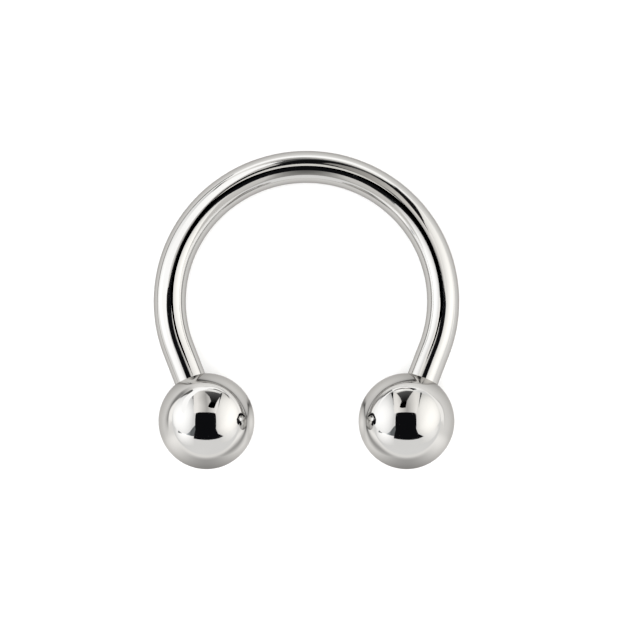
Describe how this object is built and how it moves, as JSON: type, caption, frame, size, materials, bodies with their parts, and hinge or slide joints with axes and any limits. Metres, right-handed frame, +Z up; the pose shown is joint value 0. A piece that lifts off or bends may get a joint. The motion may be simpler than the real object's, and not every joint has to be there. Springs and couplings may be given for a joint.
{
  "type": "horseshoe barbell",
  "caption": "Horseshoe barbell for a body piercing: a mirror-polished round steel wire bent to an open ring, with a polished ball screwed on each threaded end.",
  "frame": {"origin": "on the surface that it lies on, under the middle of its outline", "axes": "+Y from the balls to the crown of the arc, +X from the left ball to the right one, +Z up"},
  "size_m": [0.0152, 0.016, 0.0048],
  "materials": {
    "bar_steel": "bare surgical stainless steel, mirror-polished along the wire, threads left as cut",
    "ball_steel": "bare surgical stainless steel, mirror-polished all over, bore left as drilled"
  },
  "bodies": {
    "bar": {"horseshoe_bar": "bar_steel"},
    "left_end": {"ball_left": "ball_steel"},
    "right_end": {"ball_right": "ball_steel"}
  },
  "joints": [
    {"name": "unscrew_left", "type": "slide", "parent": "bar", "child": "left_end", "axis": [0.3584, -0.9265, 0.1147], "range_m": [0, 0.00285]},
    {"name": "unscrew_right", "type": "slide", "parent": "bar", "child": "right_end", "axis": [-0.3584, -0.9265, 0.1147], "range_m": [0, 0.00285]}
  ]
}
